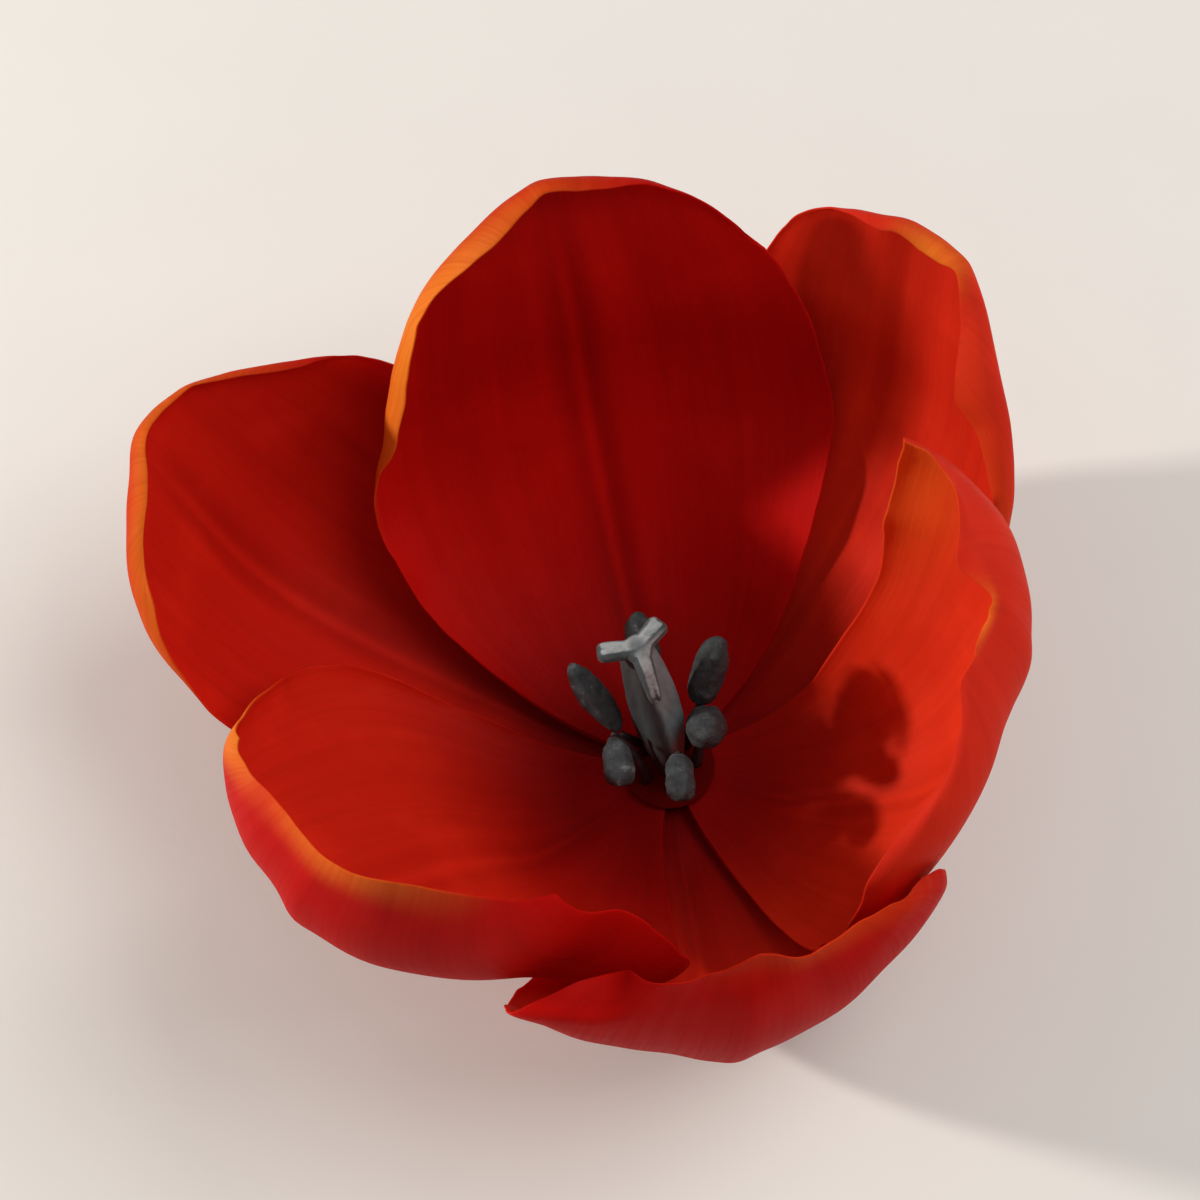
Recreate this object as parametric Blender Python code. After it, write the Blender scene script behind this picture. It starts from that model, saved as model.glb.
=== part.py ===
"""An open tulip bloom, cut flush under the flower and resting on the shoulders of its outer tepals.

Units are metres and +Z is up. The origin lies on the surface that the bloom rests on, under the
middle of its outline, and the flower's own axis stands at FLOWER_AXIS.
"""

import math
from typing import NamedTuple

import bmesh
import bpy
import numpy as np
from mathutils import Vector

# Where the flower stands in the frame
FLOWER_AXIS = (0.0115, -0.0027)

# The cup: one smooth surface that both whorls of tepals follow, one on each side of it
CLAW_RADIUS = 0.0046
CLAW_HEIGHT = 0.0022
CLAW_TURN = -14.0
SHOULDER_TURN = 6.0
ARC_STATIONS = (0.0, 0.009, 0.022, 0.040, 0.060, 0.085)
ARC_STEPS = 60

# Thickness of a tepal, and the gaps that keep the pieces apart
CLAW_THICKNESS = 0.0013
BLADE_THICKNESS = 0.0007
CLAW_LENGTH = 0.014
WHORL_GAP = 0.0005
SEAT_GAP = 0.0003

# Form of a tepal's base, keel and rim
CLAW_HALF_WIDTH = 0.0043
SHARE_MARGIN = 3.0
SHARE_SOFTNESS = 6
KEEL_HEIGHT = 0.0005
KEEL_HALF_WIDTH = 0.0018
POINT_HALF_WIDTH = 0.005
CURL_RADIUS = 0.0020
LIFT_FULL_ARC = 0.060
RIPPLES_ROUND = 9
RIPPLE_FULL_ARC = 0.040

# Rows and columns of a tepal's mesh, closer together at the keel, the claw and the rim
COLUMNS = (0.0, 0.055, 0.14, 0.30, 0.48, 0.65, 0.79, 0.89, 0.955, 1.0)
LOWER_ROWS = (0.0, 0.035, 0.07, 0.11, 0.155, 0.21, 0.28, 0.37, 0.48, 0.60, 0.73, 0.87, 1.0)
UPPER_ROWS = (0.15, 0.30, 0.44, 0.57, 0.69, 0.79, 0.87, 0.94, 1.0)

# Receptacle and the cut end of the stalk
STALK_CUT_HEIGHT = 0.00045
RECEPTACLE_TOP = 0.0048
RECEPTACLE_BEVEL = 0.0006
STALK_BEVEL = 0.0003
STALK_SIDES = 28

# Ovary and stigma
OVARY_FOOT_RADIUS = 0.0021
OVARY_RADIUS = 0.0029
OVARY_NECK_RADIUS = 0.0020
OVARY_TOP = (-0.0040, 0.0062, 0.0248)
OVARY_ANGLES = 0.10
OVARY_FIRST_ANGLE = 42.0
OVARY_FULLNESS = 0.6
OVARY_BLUNTNESS = 2.5
OVARY_BEND = 1.4
OVARY_ROWS_PULL = 0.035
STIGMA_HALF_HEIGHT = 0.0010
STIGMA_HUB_RADIUS = 0.0022
STIGMA_LOBES = ((48.0, 0.0054, 0.0003), (192.0, 0.0060, -0.0004), (296.0, 0.0066, -0.0026))
STIGMA_LOBE_HALF_WIDTH = 0.0012
STIGMA_LOBE_SPREAD = 25.0
STIGMA_RISE_LENGTH = 0.0033
STIGMA_FLATNESS = 0.7

# Stamens
FILAMENT_RING_RADIUS = 0.0035
FILAMENT_FOOT_RADIUS = 0.00075
FILAMENT_TIP_RADIUS = 0.00035
FILAMENT_BEND = 0.4
FILAMENT_BEND_LENGTH = 0.0012
FILAMENT_STEPS = 6
ANTHER_FURROW = 0.18
ANTHER_FULLNESS = 0.75


class Stamen(NamedTuple):
    """One stamen: the azimuth of its foot, and the ends of its anther from the flower's axis."""

    foot_azimuth: float
    base: tuple
    tip: tuple
    half_width: float
    half_depth: float


STAMENS = (
    Stamen(150.0, (-0.0061, 0.0013, 0.0130), (-0.0123, 0.0068, 0.0200), 0.0018, 0.0014),
    Stamen(105.0, (-0.0022, 0.0079, 0.0125), (-0.0042, 0.0138, 0.0200), 0.0018, 0.0015),
    Stamen(50.0, (0.0036, 0.0047, 0.0140), (0.0059, 0.0095, 0.0220), 0.0023, 0.0018),
    Stamen(5.0, (0.0046, 0.0031, 0.0125), (0.0043, -0.0021, 0.0195), 0.0023, 0.0022),
    Stamen(285.0, (0.0010, -0.0030, 0.0150), (0.0010, -0.0095, 0.0185), 0.0016, 0.0015),
    Stamen(215.0, (-0.0068, -0.0008, 0.0156), (-0.0060, -0.0073, 0.0174), 0.0017, 0.0016),
)


class Curl(NamedTuple):
    """A stretch of rim rolled inwards, its middle and spread given as angles round the blade."""

    middle: float
    spread: float
    reach: float


class Tepal(NamedTuple):
    """One tepal. Its sides are named as seen from above, clockwise and counterclockwise."""

    name: str
    inner: bool
    facing: float
    length: float
    widest: float
    half_cw: float
    half_ccw: float
    corner_cw: float
    corner_ccw: float
    taper: float
    skew: float
    tilt: float
    turns: tuple
    lean: float
    lift_cw: float
    lift_ccw: float
    lift_tip: float
    point: float
    ripple: float
    ripple_phase: float
    curls: tuple


TEPALS = (
    Tepal("back_tepal", True, 102.9, 0.0912, 0.0439, 0.0342, 0.0317,
          2.1, 1.7, 0.80, -0.0011, 0.0016, (24, 54, 88, 52), 5.0,
          0.0001, 0.0065, 0.0044, 0.0011, 0.0005, 0.0,
          (Curl(44, 44, 0.0033), Curl(87, 49, 0.0061))),
    Tepal("left_tepal", False, 156.4, 0.0871, 0.0434, 0.0355, 0.0261,
          1.7, 2.2, 1.00, -0.0020, 0.0017, (10, 21, 66, 71), 1.8,
          -0.0013, -0.0007, 0.0004, 0.0022, 0.0004, 2.0,
          (Curl(77, 61, 0.0051), Curl(113, 39, 0.0036))),
    Tepal("front_left_tepal", True, 216.6, 0.0937, 0.0415, 0.0362, 0.0390,
          1.7, 2.0, 1.19, 0.0015, 0.0, (56, 50, 40, 109), 6.6,
          0.0074, 0.0114, 0.0, -0.0015, 0.0006, 1.0,
          (Curl(150, 21, 0.0005),)),
    Tepal("front_tepal", False, 278.2, 0.0719, 0.0545, 0.0275, 0.0315,
          3.4, 2.2, 1.06, 0.0, 0.0002, (12, 68, 86, 119), 3.5,
          -0.0022, -0.0020, -0.0030, 0.0023, 0.0005, 0.5,
          (Curl(142, 23, 0.0054), Curl(20, 40, 0.0024))),
    Tepal("right_tepal", True, 345.9, 0.0779, 0.0643, 0.0370, 0.0331,
          1.7, 1.9, 0.95, -0.0001, 0.0044, (33, 75, 80, 128), 12.3,
          0.0046, 0.0139, 0.0059, -0.0025, 0.0005, 2.6,
          (Curl(65, 27, 0.0029),)),
    Tepal("back_right_tepal", False, 51.6, 0.0874, 0.0493, 0.0274, 0.0242,
          1.7, 1.7, 1.00, -0.0065, 0.0008, (48, 37, 84, 52), 8.4,
          -0.0015, -0.0003, -0.0015, 0.0008, 0.0006, 1.6,
          (Curl(129, 71, 0.0066), Curl(91, 38, 0.0065))),
)


def srgb(red, green, blue):
    """Linear colour of an sRGB colour given in steps of 255."""
    channels = [value / 255 for value in (red, green, blue)]
    linear = [c / 12.92 if c <= 0.04045 else ((c + 0.055) / 1.055) ** 2.4 for c in channels]
    return (*linear, 1.0)


def clear_scene():
    """Remove every object of the scene."""
    for item in list(bpy.data.objects):
        bpy.data.objects.remove(item, do_unlink=True)


def make_material(name, colour, roughness):
    """A plain material of one colour."""
    material = bpy.data.materials.new(name)
    material.use_nodes = True
    shader = material.node_tree.nodes["Principled BSDF"]
    shader.inputs["Base Color"].default_value = colour
    shader.inputs["Roughness"].default_value = roughness
    shader.inputs["Metallic"].default_value = 0.0
    material.diffuse_color = colour
    return material


def add_object(name, bm, material):
    """Turn an edited mesh into a named, smooth-shaded object that stands on the flower's axis."""
    mesh = bpy.data.meshes.new(name)
    bm.to_mesh(mesh)
    bm.free()
    mesh.materials.append(material)
    mesh.shade_smooth()
    piece = bpy.data.objects.new(name, mesh)
    piece.location = (*FLOWER_AXIS, 0.0)
    bpy.context.collection.objects.link(piece)
    return piece


def smooth_step(value):
    """Ease from 0 to 1."""
    t = np.clip(value, 0.0, 1.0)
    return t * t * (3.0 - 2.0 * t)


def share_of_ring(azimuth):
    """How much the turns of each tepal count at an azimuth, blended between neighbours."""
    ring = sorted(TEPALS, key=lambda tepal: tepal.facing)
    weights = {tepal.name: np.zeros_like(azimuth) for tepal in ring}
    for tepal, following in zip(ring, ring[1:] + ring[:1]):
        span = (following.facing - tepal.facing) % 360.0
        along = np.mod(azimuth - tepal.facing, 360.0) / span
        between = along < 1.0
        blend = smooth_step(along)
        weights[tepal.name] += np.where(between, 1.0 - blend, 0.0)
        weights[following.name] += np.where(between, blend, 0.0)
    return [(tepal, weights[tepal.name]) for tepal in ring]


def cup_meridian(azimuth, arc):
    """Radius, height and inclination of the cup at an azimuth and a length along it."""
    stations = np.array(ARC_STATIONS)
    along = arc[..., None] * np.linspace(0.0, 1.0, ARC_STEPS)
    turn = np.zeros_like(along)
    for tepal, weight in share_of_ring(azimuth):
        turns = (CLAW_TURN, SHOULDER_TURN) + tepal.turns
        turn += weight[..., None] * np.interp(along, stations, turns)
    turn = np.radians(turn)
    step = arc / (ARC_STEPS - 1)
    outward = np.cos(turn)
    upward = np.sin(turn)
    radius = CLAW_RADIUS + step * (outward.sum(-1) - 0.5 * (outward[..., 0] + outward[..., -1]))
    height = CLAW_HEIGHT + step * (upward.sum(-1) - 0.5 * (upward[..., 0] + upward[..., -1]))
    return radius, height, turn[..., -1]


def cup_point(azimuth, arc, inward):
    """Point of the cup, moved inwards along its normal."""
    radius, height, turn = cup_meridian(azimuth, arc)
    radius = radius - inward * np.sin(turn)
    height = height + inward * np.cos(turn)
    angle = np.radians(azimuth)
    return np.stack([radius * np.cos(angle), radius * np.sin(angle), height], axis=-1)


def room_beside(tepal):
    """Half angles that a tepal may fill on its clockwise and counterclockwise side."""
    others = [other for other in TEPALS if other.inner == tepal.inner and other is not tepal]
    clockwise = min((tepal.facing - other.facing) % 360.0 for other in others)
    counterclockwise = min((other.facing - tepal.facing) % 360.0 for other in others)
    return clockwise / 2 - SHARE_MARGIN, counterclockwise / 2 - SHARE_MARGIN


def blade_thickness(arc):
    """Thickness of a tepal, from its stout claw to its thin blade."""
    return CLAW_THICKNESS + (BLADE_THICKNESS - CLAW_THICKNESS) * smooth_step(arc / CLAW_LENGTH)


def tepal_outline(tepal, across, along):
    """Spread a square of -1 to 1 over a tepal's blade: sideways, lengthways, and 1 at its rim."""
    half = np.where(across < 0.0, tepal.half_cw, tepal.half_ccw)
    below = along < 0.0
    up = np.clip(along, 0.0, 1.0)
    narrow = CLAW_HALF_WIDTH / half
    widening = np.sin((np.clip(along, -1.0, 0.0) + 1.0) * math.pi / 2) ** tepal.taper
    width = narrow + (1.0 - narrow) * widening
    round_side = across * np.sqrt(1.0 - up ** 2 / 2)
    round_up = up * np.sqrt(1.0 - across ** 2 / 2)
    rim = np.where(below, np.abs(across), np.hypot(round_side, round_up))

    # square off, or flatten, the corners of the upper half: a power of 2 leaves them round
    spread = np.hypot(round_side, round_up) + 1e-9
    power = np.where(across < 0.0, tepal.corner_cw, tepal.corner_ccw)
    filled = np.abs(round_side / spread) ** power + np.abs(round_up / spread) ** power + 1e-12
    filled = 1.0 + (filled ** (-1.0 / power) - 1.0) * np.clip(spread, 0.0, 1.0) ** 3
    round_side = round_side * filled
    round_up = round_up * filled
    sideways = half * np.where(below, across * width, round_side)
    upper = tepal.widest + (tepal.length - tepal.widest) * round_up
    arc = np.where(below, tepal.widest * (1.0 + along), upper)
    arc = arc + tepal.point * np.exp(-(sideways / POINT_HALF_WIDTH) ** 2) * up ** 4
    arc = arc + tepal.skew * across * (1.0 - along ** 2) + tepal.tilt * across * up ** 2
    return sideways, arc, rim


def curl_reach(tepal, direction):
    """How far in from the rim a tepal is rolled, for each direction from the blade's middle."""
    reach = np.zeros_like(direction)
    for curl in tepal.curls:
        away = np.abs((direction - curl.middle + 180.0) % 360.0 - 180.0)
        reach = np.maximum(reach, curl.reach * smooth_step(1.0 - away / curl.spread))
    return reach


def tepal_back(tepal, across, along):
    """Points of a tepal's outer face."""
    sideways, arc, rim = tepal_outline(tepal, across, along)
    middle_radius = cup_meridian(np.full_like(arc, tepal.facing), arc)[0]
    blade_height = tepal.length - tepal.widest
    direction = np.degrees(np.arctan2(arc - tepal.widest, sideways))

    # how far the face lies from the cup, on its own whorl's side of it
    keel = KEEL_HEIGHT * np.exp(-(sideways / KEEL_HALF_WIDTH) ** 2)
    lift = np.where(across < 0.0, tepal.lift_cw, tepal.lift_ccw) * across ** 2
    lift = lift * np.sin(np.clip(arc / LIFT_FULL_ARC, 0.0, 1.0) * math.pi / 2) ** 2
    lift = lift + tepal.lift_tip * np.clip((arc - tepal.widest) / blade_height, 0.0, 1.0) ** 2
    waves = 1.0 + np.cos(np.radians(direction) * RIPPLES_ROUND + tepal.ripple_phase)
    waves = waves * rim ** 6 * smooth_step(arc / RIPPLE_FULL_ARC)
    away = WHORL_GAP / 2 + lift + tepal.ripple * waves
    if tepal.inner:
        inward = away + KEEL_HEIGHT - keel
    else:
        inward = -(away + blade_thickness(arc) + keel)

    # roll the rim
    mean_half = (tepal.half_cw + tepal.half_ccw + blade_height) / 3
    rolled = np.clip(curl_reach(tepal, direction) - (1.0 - rim) * mean_half, 0.0, None)
    shorter = CURL_RADIUS * np.sin(rolled / CURL_RADIUS) - rolled
    outward = np.hypot(sideways, arc - tepal.widest) + 1e-9
    sideways, arc = (sideways + shorter * sideways / outward,
                     arc + shorter * (arc - tepal.widest) / outward)
    inward = inward + CURL_RADIUS * (1.0 - np.cos(rolled / CURL_RADIUS))

    # wrap it round the flower, within the share of the ring that its whorl leaves it
    angle = np.degrees(sideways / middle_radius)
    room_cw, room_ccw = room_beside(tepal)
    room = np.where(across < 0.0, room_cw, room_ccw)
    angle = angle / (1.0 + np.abs(angle / room) ** SHARE_SOFTNESS) ** (1.0 / SHARE_SOFTNESS)
    azimuth = tepal.facing + tepal.lean * (arc / tepal.length) ** 2 + angle
    points = cup_point(azimuth, arc, inward)
    points[..., 2] = np.maximum(points[..., 2], 0.0)
    return points, arc


def make_tepal(tepal, material):
    """A tepal: a shaped sheet, split into triangles, and given its thickness inwards."""
    columns = [-value for value in COLUMNS[:0:-1]] + list(COLUMNS)
    rows = [value - 1.0 for value in LOWER_ROWS] + list(UPPER_ROWS)
    bm = bmesh.new()
    bmesh.ops.create_grid(bm, x_segments=len(columns) - 1, y_segments=len(rows) - 1, size=1.0)
    bm.verts.ensure_lookup_table()
    column_of = [round((v.co.x + 1.0) / 2 * (len(columns) - 1)) for v in bm.verts]
    row_of = [round((v.co.y + 1.0) / 2 * (len(rows) - 1)) for v in bm.verts]
    across = np.array([columns[index] for index in column_of])
    along = np.array([rows[index] for index in row_of])
    points, arc = tepal_back(tepal, across, along)
    for vertex, point in zip(bm.verts, points):
        vertex.co = point
    bmesh.ops.triangulate(bm, faces=bm.faces)
    piece = add_object(tepal.name, bm, material)

    group = piece.vertex_groups.new(name="thickness")
    for index, thickness in enumerate(blade_thickness(arc)):
        group.add([index], float(thickness / CLAW_THICKNESS), "REPLACE")
    solidify = piece.modifiers.new("thickness", "SOLIDIFY")
    solidify.thickness = CLAW_THICKNESS
    solidify.offset = -1.0
    solidify.vertex_group = group.name
    solidify.use_even_offset = False
    solidify.use_quality_normals = True
    return piece


def receptacle_radius(height):
    """Radius of the receptacle's side, which keeps its gap to the claws' ends."""
    slope = math.tan(math.radians(-CLAW_TURN))
    gap = SEAT_GAP / math.cos(math.radians(CLAW_TURN))
    return CLAW_RADIUS - gap + (height - CLAW_HEIGHT) * slope


def make_stalk_end(material):
    """The receptacle with the cut end of the stalk under it, turned round the flower's axis."""
    shoulder = RECEPTACLE_TOP - RECEPTACLE_BEVEL
    profile = (
        (0.0, STALK_CUT_HEIGHT),
        (receptacle_radius(STALK_CUT_HEIGHT) - STALK_BEVEL, STALK_CUT_HEIGHT),
        (receptacle_radius(STALK_CUT_HEIGHT + STALK_BEVEL), STALK_CUT_HEIGHT + STALK_BEVEL),
        (receptacle_radius(shoulder), shoulder),
        (receptacle_radius(shoulder) - RECEPTACLE_BEVEL, RECEPTACLE_TOP),
        (0.0, RECEPTACLE_TOP),
    )
    bm = bmesh.new()
    corners = [bm.verts.new((radius, 0.0, height)) for radius, height in profile]
    edges = [bm.edges.new(pair) for pair in zip(corners, corners[1:])]
    bmesh.ops.spin(bm, geom=corners + edges, axis=(0, 0, 1), cent=(0, 0, 0),
                   angle=2 * math.pi, steps=STALK_SIDES)
    bmesh.ops.remove_doubles(bm, verts=bm.verts, dist=1e-6)
    bmesh.ops.recalc_face_normals(bm, faces=bm.faces)
    piece = add_object("stalk_end", bm, material)
    piece.data.set_sharp_from_angle(angle=math.radians(30))
    return piece


def make_ovary(material):
    """The ovary: a three-sided column that leans a little, from the receptacle to the stigma."""
    bm = bmesh.new()
    bmesh.ops.create_uvsphere(bm, u_segments=18, v_segments=14, radius=1.0)
    foot = RECEPTACLE_TOP + SEAT_GAP
    lean = Vector((OVARY_TOP[0], OVARY_TOP[1], 0.0))
    for vertex in bm.verts:
        t = math.asin(max(-1.0, min(1.0, vertex.co.z))) / math.pi + 0.5
        angle = math.atan2(vertex.co.y, vertex.co.x)
        ring = max(0.0, math.sin(math.pi * t))
        body = OVARY_FOOT_RADIUS + (OVARY_NECK_RADIUS - OVARY_FOOT_RADIUS) * t
        body = body + (OVARY_RADIUS - OVARY_NECK_RADIUS) * ring ** OVARY_FULLNESS
        corner = 1.0 + OVARY_ANGLES * math.cos(3 * (angle - math.radians(OVARY_FIRST_ANGLE)))
        radius = body * min(1.0, ring * OVARY_BLUNTNESS) * corner
        along = t + OVARY_ROWS_PULL * math.sin(2 * math.pi * t)
        height = foot + (OVARY_TOP[2] - foot) * along
        centre = lean * t ** OVARY_BEND
        vertex.co = (centre.x + radius * math.cos(angle), centre.y + radius * math.sin(angle), height)
    return add_object("ovary", bm, material)


def stigma_reach(angle):
    """How far the stigma spreads in a direction, and how high its lobe lies there."""
    reach = STIGMA_HUB_RADIUS
    rise = 0.0
    for facing, length, lift in STIGMA_LOBES:
        away = abs((math.degrees(angle) - facing + 180.0) % 360.0 - 180.0)
        if away < 90.0:
            beside = STIGMA_LOBE_HALF_WIDTH / max(math.sin(math.radians(away)), 1e-6)
            lobe = (length ** -4 + beside ** -4) ** -0.25
            reach = max(reach, lobe)
            rise = rise + lift * math.exp(-(away / STIGMA_LOBE_SPREAD) ** 2)
    return reach, rise


def make_stigma(material):
    """The stigma: three spreading lobes on a hub that sits on top of the ovary."""
    bm = bmesh.new()
    bmesh.ops.create_uvsphere(bm, u_segments=60, v_segments=8, radius=1.0)
    seat = OVARY_TOP[2] + SEAT_GAP + STIGMA_HALF_HEIGHT
    for vertex in bm.verts:
        angle = math.atan2(vertex.co.y, vertex.co.x)
        ring = math.hypot(vertex.co.x, vertex.co.y)
        reach, rise = stigma_reach(angle)
        radius = reach * ring ** STIGMA_FLATNESS
        outer = max(0.0, radius - STIGMA_HUB_RADIUS) / STIGMA_RISE_LENGTH
        height = seat + STIGMA_HALF_HEIGHT * vertex.co.z + rise * min(1.0, outer)
        vertex.co = (OVARY_TOP[0] + radius * math.cos(angle),
                     OVARY_TOP[1] + radius * math.sin(angle), height)
    return add_object("stigma", bm, material)


def make_anther(name, stamen, material):
    """An anther: a long pouch with a furrow down each flat side."""
    bm = bmesh.new()
    bmesh.ops.create_uvsphere(bm, u_segments=12, v_segments=9, radius=1.0)
    base = Vector(stamen.base)
    tip = Vector(stamen.tip)
    axis = (tip - base).normalized()
    side = axis.cross(Vector((0.0, 0.0, 1.0))).normalized()
    back = axis.cross(side)
    for vertex in bm.verts:
        angle = math.atan2(vertex.co.y, vertex.co.x)
        ring = math.hypot(vertex.co.x, vertex.co.y) ** ANTHER_FULLNESS
        furrow = 1.0 - ANTHER_FURROW * math.sin(angle) ** 6
        across = side * (stamen.half_width * ring * math.cos(angle))
        through = back * (stamen.half_depth * ring * math.sin(angle) * furrow)
        vertex.co = base.lerp(tip, (vertex.co.z + 1.0) / 2) + across + through
    return add_object(name, bm, material)


def make_filament(name, stamen, material):
    """A filament: a tapered stalk that bends from the receptacle out to its anther."""
    angle = math.radians(stamen.foot_azimuth)
    foot = Vector((FILAMENT_RING_RADIUS * math.cos(angle), FILAMENT_RING_RADIUS * math.sin(angle),
                   RECEPTACLE_TOP + SEAT_GAP))
    axis = (Vector(stamen.tip) - Vector(stamen.base)).normalized()
    head = Vector(stamen.base) - axis * SEAT_GAP
    rising = foot + Vector((0.0, 0.0, (head.z - foot.z) * FILAMENT_BEND))
    arriving = head - axis * FILAMENT_BEND_LENGTH
    curve = bpy.data.curves.new(name, "CURVE")
    curve.dimensions = "3D"
    curve.bevel_depth = 1.0
    curve.bevel_resolution = 2
    curve.use_fill_caps = True
    spline = curve.splines.new("POLY")
    spline.points.add(FILAMENT_STEPS)
    for index in range(FILAMENT_STEPS + 1):
        t = index / FILAMENT_STEPS
        point = (foot * (1 - t) ** 3 + rising * (3 * t * (1 - t) ** 2)
                 + arriving * (3 * t ** 2 * (1 - t)) + head * t ** 3)
        spline.points[index].co = (*point, 1.0)
        taper = FILAMENT_TIP_RADIUS - FILAMENT_FOOT_RADIUS
        spline.points[index].radius = FILAMENT_FOOT_RADIUS + t * taper
    curve.materials.append(material)
    piece = bpy.data.objects.new(name, curve)
    piece.location = (*FLOWER_AXIS, 0.0)
    bpy.context.collection.objects.link(piece)
    return piece


def main():
    """Build the bloom."""
    clear_scene()
    petal_red = make_material("petal_red", srgb(172, 22, 14), 0.45)
    stalk_green = make_material("stalk_green", srgb(120, 140, 70), 0.55)
    ovary_grey = make_material("ovary_grey", srgb(86, 86, 84), 0.6)
    stigma_pale = make_material("stigma_pale", srgb(158, 158, 154), 0.75)
    anther_dark = make_material("anther_dark", srgb(58, 58, 60), 0.9)
    filament_dark = make_material("filament_dark", srgb(44, 42, 44), 0.6)

    make_stalk_end(stalk_green)
    for tepal in TEPALS:
        make_tepal(tepal, petal_red)
    make_ovary(ovary_grey)
    make_stigma(stigma_pale)
    for number, stamen in enumerate(STAMENS, start=1):
        make_filament(f"filament_{number}", stamen, filament_dark)
        make_anther(f"anther_{number}", stamen, anther_dark)


if __name__ == "__main__":
    main()
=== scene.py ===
"""An open tulip bloom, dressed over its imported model: six petals, the pistil, six stamens, the seat.

The file is laid out as an add-on and run as a script. Lengths are metres and +Z is up. Directions
round the flower are degrees, counterclockwise from +X as seen from above.
"""

import math
from typing import NamedTuple

import bpy
import numpy as np
from bpy.props import FloatProperty, FloatVectorProperty, IntProperty, PointerProperty
from mathutils import Matrix, Vector


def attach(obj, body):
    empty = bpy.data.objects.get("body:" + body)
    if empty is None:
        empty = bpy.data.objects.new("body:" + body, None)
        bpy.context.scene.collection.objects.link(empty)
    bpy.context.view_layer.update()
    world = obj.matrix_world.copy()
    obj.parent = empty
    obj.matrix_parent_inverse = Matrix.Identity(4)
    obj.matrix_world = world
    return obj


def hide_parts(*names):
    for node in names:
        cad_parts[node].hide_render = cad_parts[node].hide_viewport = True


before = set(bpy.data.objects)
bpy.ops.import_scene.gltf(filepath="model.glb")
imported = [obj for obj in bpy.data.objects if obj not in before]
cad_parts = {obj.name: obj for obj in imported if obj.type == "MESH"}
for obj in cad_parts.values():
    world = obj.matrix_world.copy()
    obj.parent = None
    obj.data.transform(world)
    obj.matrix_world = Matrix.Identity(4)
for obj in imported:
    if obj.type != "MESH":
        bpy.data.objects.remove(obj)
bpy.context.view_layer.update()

bl_info = {
    "name": "Tulip Bloom",
    "version": (1, 0, 0),
    "blender": (4, 5, 0),
    "location": "View3D > Sidebar > Tulip",
    "description": "Models an open tulip bloom over its solids and sets it on a pale table",
    "category": "Add Mesh",
}

# Where the flower stands in the frame
FLOWER_AXIS = Vector((0.0115, -0.0027, 0.0))

# The cup that both whorls of petals follow, one on each side of it
CLAW_RADIUS = 0.0046
CLAW_HEIGHT = 0.0022
FIRST_TURNS = (-14.0, 6.0)
ARC_STATIONS = (0.0, 0.009, 0.022, 0.040, 0.060, 0.085)
ARC_STEPS = 60
WHORL_GAP = 0.0005

# What keeps a division from zero, and how near two points are taken as one
NOT_ZERO = 1e-9
SAME_PLACE = 1e-6

# Form of a petal
CLAW_HALF_WIDTH = 0.0043
CLAW_THICKNESS = 0.0013
CLAW_LENGTH = 0.014
SHARE_MARGIN = 3.0
SHARE_SOFTNESS = 6
KEEL_HEIGHT = 0.0005
KEEL_HALF_WIDTH = 0.0022
POINT_HALF_WIDTH = 0.005
CURL_RADIUS = 0.0020
LIFT_FULL_ARC = 0.060
RIPPLE_FULL_ARC = 0.040
RIPPLE_MEAN = 1.5
RIPPLES = ((9, 1.0, 1.0), (17, 0.30, 2.3), (31, 0.10, 0.7))
MARGIN_STEPS = ((13, 0.42, 0.4), (27, 0.26, 1.9), (43, 0.18, 3.1), (71, 0.14, 5.0))
PLEAT_WAVES = ((2.2, 0.55, 0.6), (4.1, 0.30, 2.0), (7.3, 0.15, 4.0))
PLEAT_START = 0.010
PLEAT_FULL = 0.030
PLEAT_LOSS_AT_RIM = 0.6
MIDRIB_HALF_WIDTH = 0.0012
MIDRIB_FADE = 0.3
THIN_RIM_START = 0.72

# The grid of a petal: share of its rows below the widest line, and how they crowd at the rim
ROWS_BELOW = 0.54
CROWDING_ACROSS = 0.62
CROWDING_ALONG = 0.70

# How far in from the margin the orange reaches, outside and inside, and its hem on the inner face:
# partly painted sunlight outside, painted sunlight inside
FLUSH_WITH_SUN_DEPTH = 0.0045
SUN_PATCH_DEPTH = 0.014
EDGE_GLOW = 0.35
EDGE_START = 0.955

# Pistil, measured from the flower's axis. The profile is shares of its height and radius
OVARY_FOOT = 0.0051
OVARY_TOP = Vector((-0.0040, 0.0062, 0.0248))
OVARY_LEAN = 1.4
OVARY_FIRST_ANGLE = 42.0
OVARY_ANGLES = 0.19
OVARY_RADIUS = 0.0030
OVARY_PROFILE = ((0.0, 0.40), (0.02, 0.58), (0.06, 0.66), (0.14, 0.73), (0.28, 0.89), (0.44, 1.00),
                 (0.60, 0.98), (0.75, 0.90), (0.88, 0.80), (0.96, 0.72), (0.99, 0.60), (1.0, 0.40))
# Side of the column that is painted in shade
OVARY_SHADE_SIDE = (-0.80, -0.60, 0.0)

# Stigma: its hub, and its limbs as direction, reach, rise, and half thickness near and far
STIGMA_HUB = Vector((-0.0040, 0.0062, 0.0262))
STIGMA_HUB_RADIUS = 0.0019
STIGMA_HUB_FLATNESS = 0.56
STIGMA_LOBES = ((50.0, 0.0056, 0.0006, 0.00118, 0.00120), (188.0, 0.0060, 0.0002, 0.00112, 0.00110),
                (293.0, 0.0064, -0.0036, 0.00135, 0.00050))
STIGMA_NOTCH = 0.00045
STIGMA_BEND_START = 0.25
STIGMA_ROUNDING = ((0.0, 0.86), (0.3, 0.86), (0.6, 0.86), (0.82, 0.86), (0.94, 0.74), (1.0, 0.40))
STIGMA_GRAIN = 0.00014
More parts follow.
